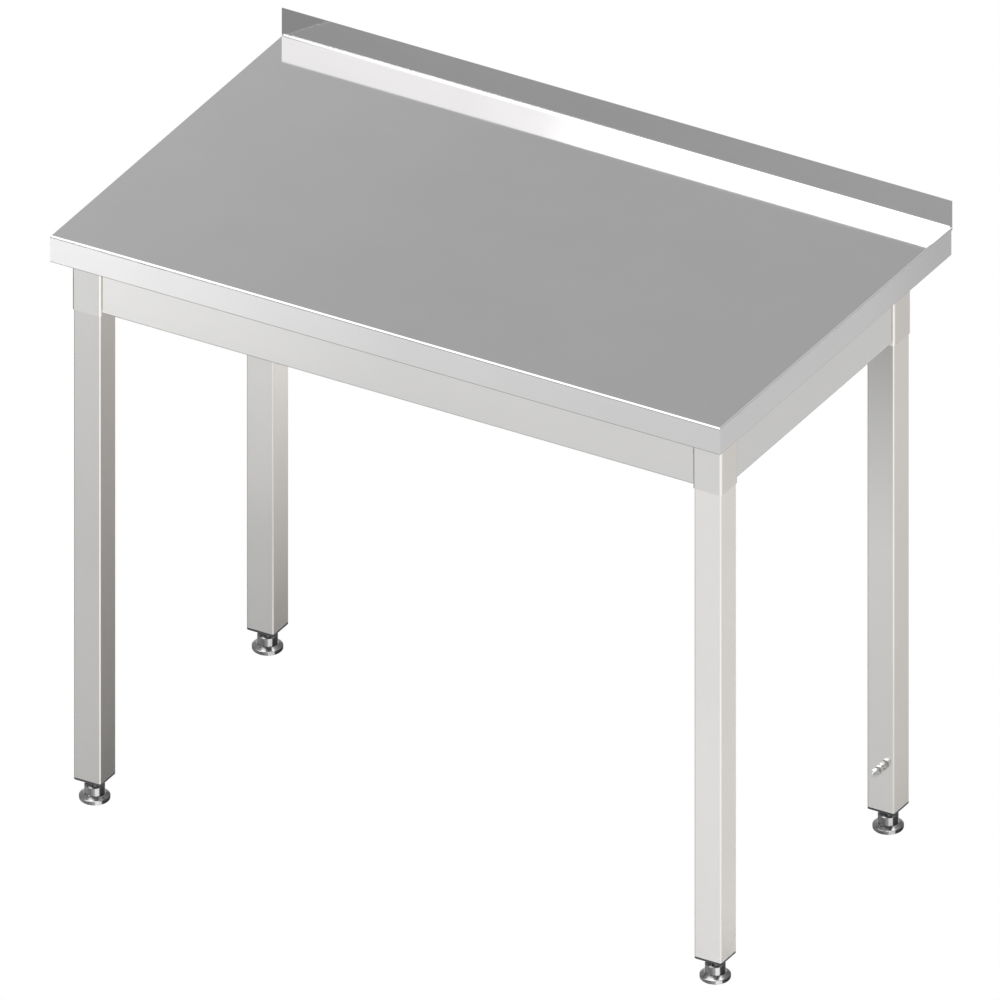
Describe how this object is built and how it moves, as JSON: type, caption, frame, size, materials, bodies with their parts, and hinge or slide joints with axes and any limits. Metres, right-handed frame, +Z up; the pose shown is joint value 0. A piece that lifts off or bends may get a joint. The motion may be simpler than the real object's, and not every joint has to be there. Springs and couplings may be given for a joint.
{
  "type": "stainless work table",
  "caption": "Rectangular stainless worktop with turned-down skirts and a rear upstand, on an apron frame and square legs with screw-adjustable feet.",
  "frame": {"origin": "on the floor under the middle of the worktop", "axes": "+X to the right along the length, +Y to the back where the upstand is, +Z up"},
  "size_m": [1, 0.6, 0.895],
  "materials": {
    "worktop_steel": "fine satin rolled finish",
    "frame_steel": "satin",
    "leg_steel": "satin, brushed along the tube",
    "stiffener_steel": "galvanised, faint spangle",
    "board_laminate": "pale grey laminate over chipboard",
    "plug_plastic": "moulded dark grey plastic",
    "polished_steel": "turned and polished",
    "spring_steel": "dark spring steel",
    "fastener_steel": "bright"
  },
  "bodies": {
    "table": {"worktop_sheet": "worktop_steel", "front_apron": "frame_steel", "rear_apron": "frame_steel", "left_apron": "frame_steel", "right_apron": "frame_steel", "corner_socket_front_left": "frame_steel", "corner_socket_front_right": "frame_steel", "corner_socket_rear_left": "frame_steel", "corner_socket_rear_right": "frame_steel", "leg_front_left": "leg_steel", "leg_front_right": "leg_steel", "leg_rear_left": "leg_steel", "leg_rear_right": "leg_steel", "stiffener_left": "stiffener_steel", "stiffener_middle": "stiffener_steel", "stiffener_right": "stiffener_steel", "core_board": "board_laminate", "leg_plug_front_left": "plug_plastic", "leg_plug_front_right": "plug_plastic", "leg_plug_rear_left": "plug_plastic", "leg_plug_rear_right": "plug_plastic", "stiffener_bolts": "fastener_steel", "stiffener_washers": "fastener_steel", "stiffener_nuts": "fastener_steel", "board_screws": "fastener_steel", "clamp_screws": "fastener_steel", "clamp_nuts": "fastener_steel", "plug_nuts": "fastener_steel", "bonding_stud": "fastener_steel", "bonding_nuts": "fastener_steel", "bonding_washers": "fastener_steel"},
    "base_front_left": {"foot_base_front_left": "polished_steel", "foot_ring_front_left": "spring_steel"},
    "spindle_front_left": {"foot_spindle_front_left": "polished_steel"},
    "base_front_right": {"foot_base_front_right": "polished_steel", "foot_ring_front_right": "spring_steel"},
    "spindle_front_right": {"foot_spindle_front_right": "polished_steel"},
    "base_rear_left": {"foot_base_rear_left": "polished_steel", "foot_ring_rear_left": "spring_steel"},
    "spindle_rear_left": {"foot_spindle_rear_left": "polished_steel"},
    "base_rear_right": {"foot_base_rear_right": "polished_steel", "foot_ring_rear_right": "spring_steel"},
    "spindle_rear_right": {"foot_spindle_rear_right": "polished_steel"}
  },
  "joints": [
    {"name": "height_front_left", "type": "slide", "parent": "table", "child": "base_front_left", "axis": [0, 0, -1], "range_m": [-0.008, 0.024]},
    {"name": "spin_front_left", "type": "hinge", "parent": "base_front_left", "child": "spindle_front_left", "pos_m": [-0.463, -0.2488, 0.017], "axis": [0, 0, -1], "range_deg": [-1921, 5761]},
    {"name": "height_front_right", "type": "slide", "parent": "table", "child": "base_front_right", "axis": [0, 0, -1], "range_m": [-0.008, 0.024]},
    {"name": "spin_front_right", "type": "hinge", "parent": "base_front_right", "child": "spindle_front_right", "pos_m": [0.463, -0.2488, 0.017], "axis": [0, 0, -1], "range_deg": [-1921, 5761]},
    {"name": "height_rear_left", "type": "slide", "parent": "table", "child": "base_rear_left", "axis": [0, 0, -1], "range_m": [-0.008, 0.024]},
    {"name": "spin_rear_left", "type": "hinge", "parent": "base_rear_left", "child": "spindle_rear_left", "pos_m": [-0.463, 0.198, 0.017], "axis": [0, 0, -1], "range_deg": [-1921, 5761]},
    {"name": "height_rear_right", "type": "slide", "parent": "table", "child": "base_rear_right", "axis": [0, 0, -1], "range_m": [-0.008, 0.024]},
    {"name": "spin_rear_right", "type": "hinge", "parent": "base_rear_right", "child": "spindle_rear_right", "pos_m": [0.463, 0.198, 0.017], "axis": [0, 0, -1], "range_deg": [-1921, 5761]}
  ],
  "couplings": [
    {"joint": "spin_front_left", "follows": "height_front_left", "rad_per_m": 4188.8},
    {"joint": "spin_front_right", "follows": "height_front_right", "rad_per_m": 4188.8},
    {"joint": "spin_rear_left", "follows": "height_rear_left", "rad_per_m": 4188.8},
    {"joint": "spin_rear_right", "follows": "height_rear_right", "rad_per_m": 4188.8}
  ]
}
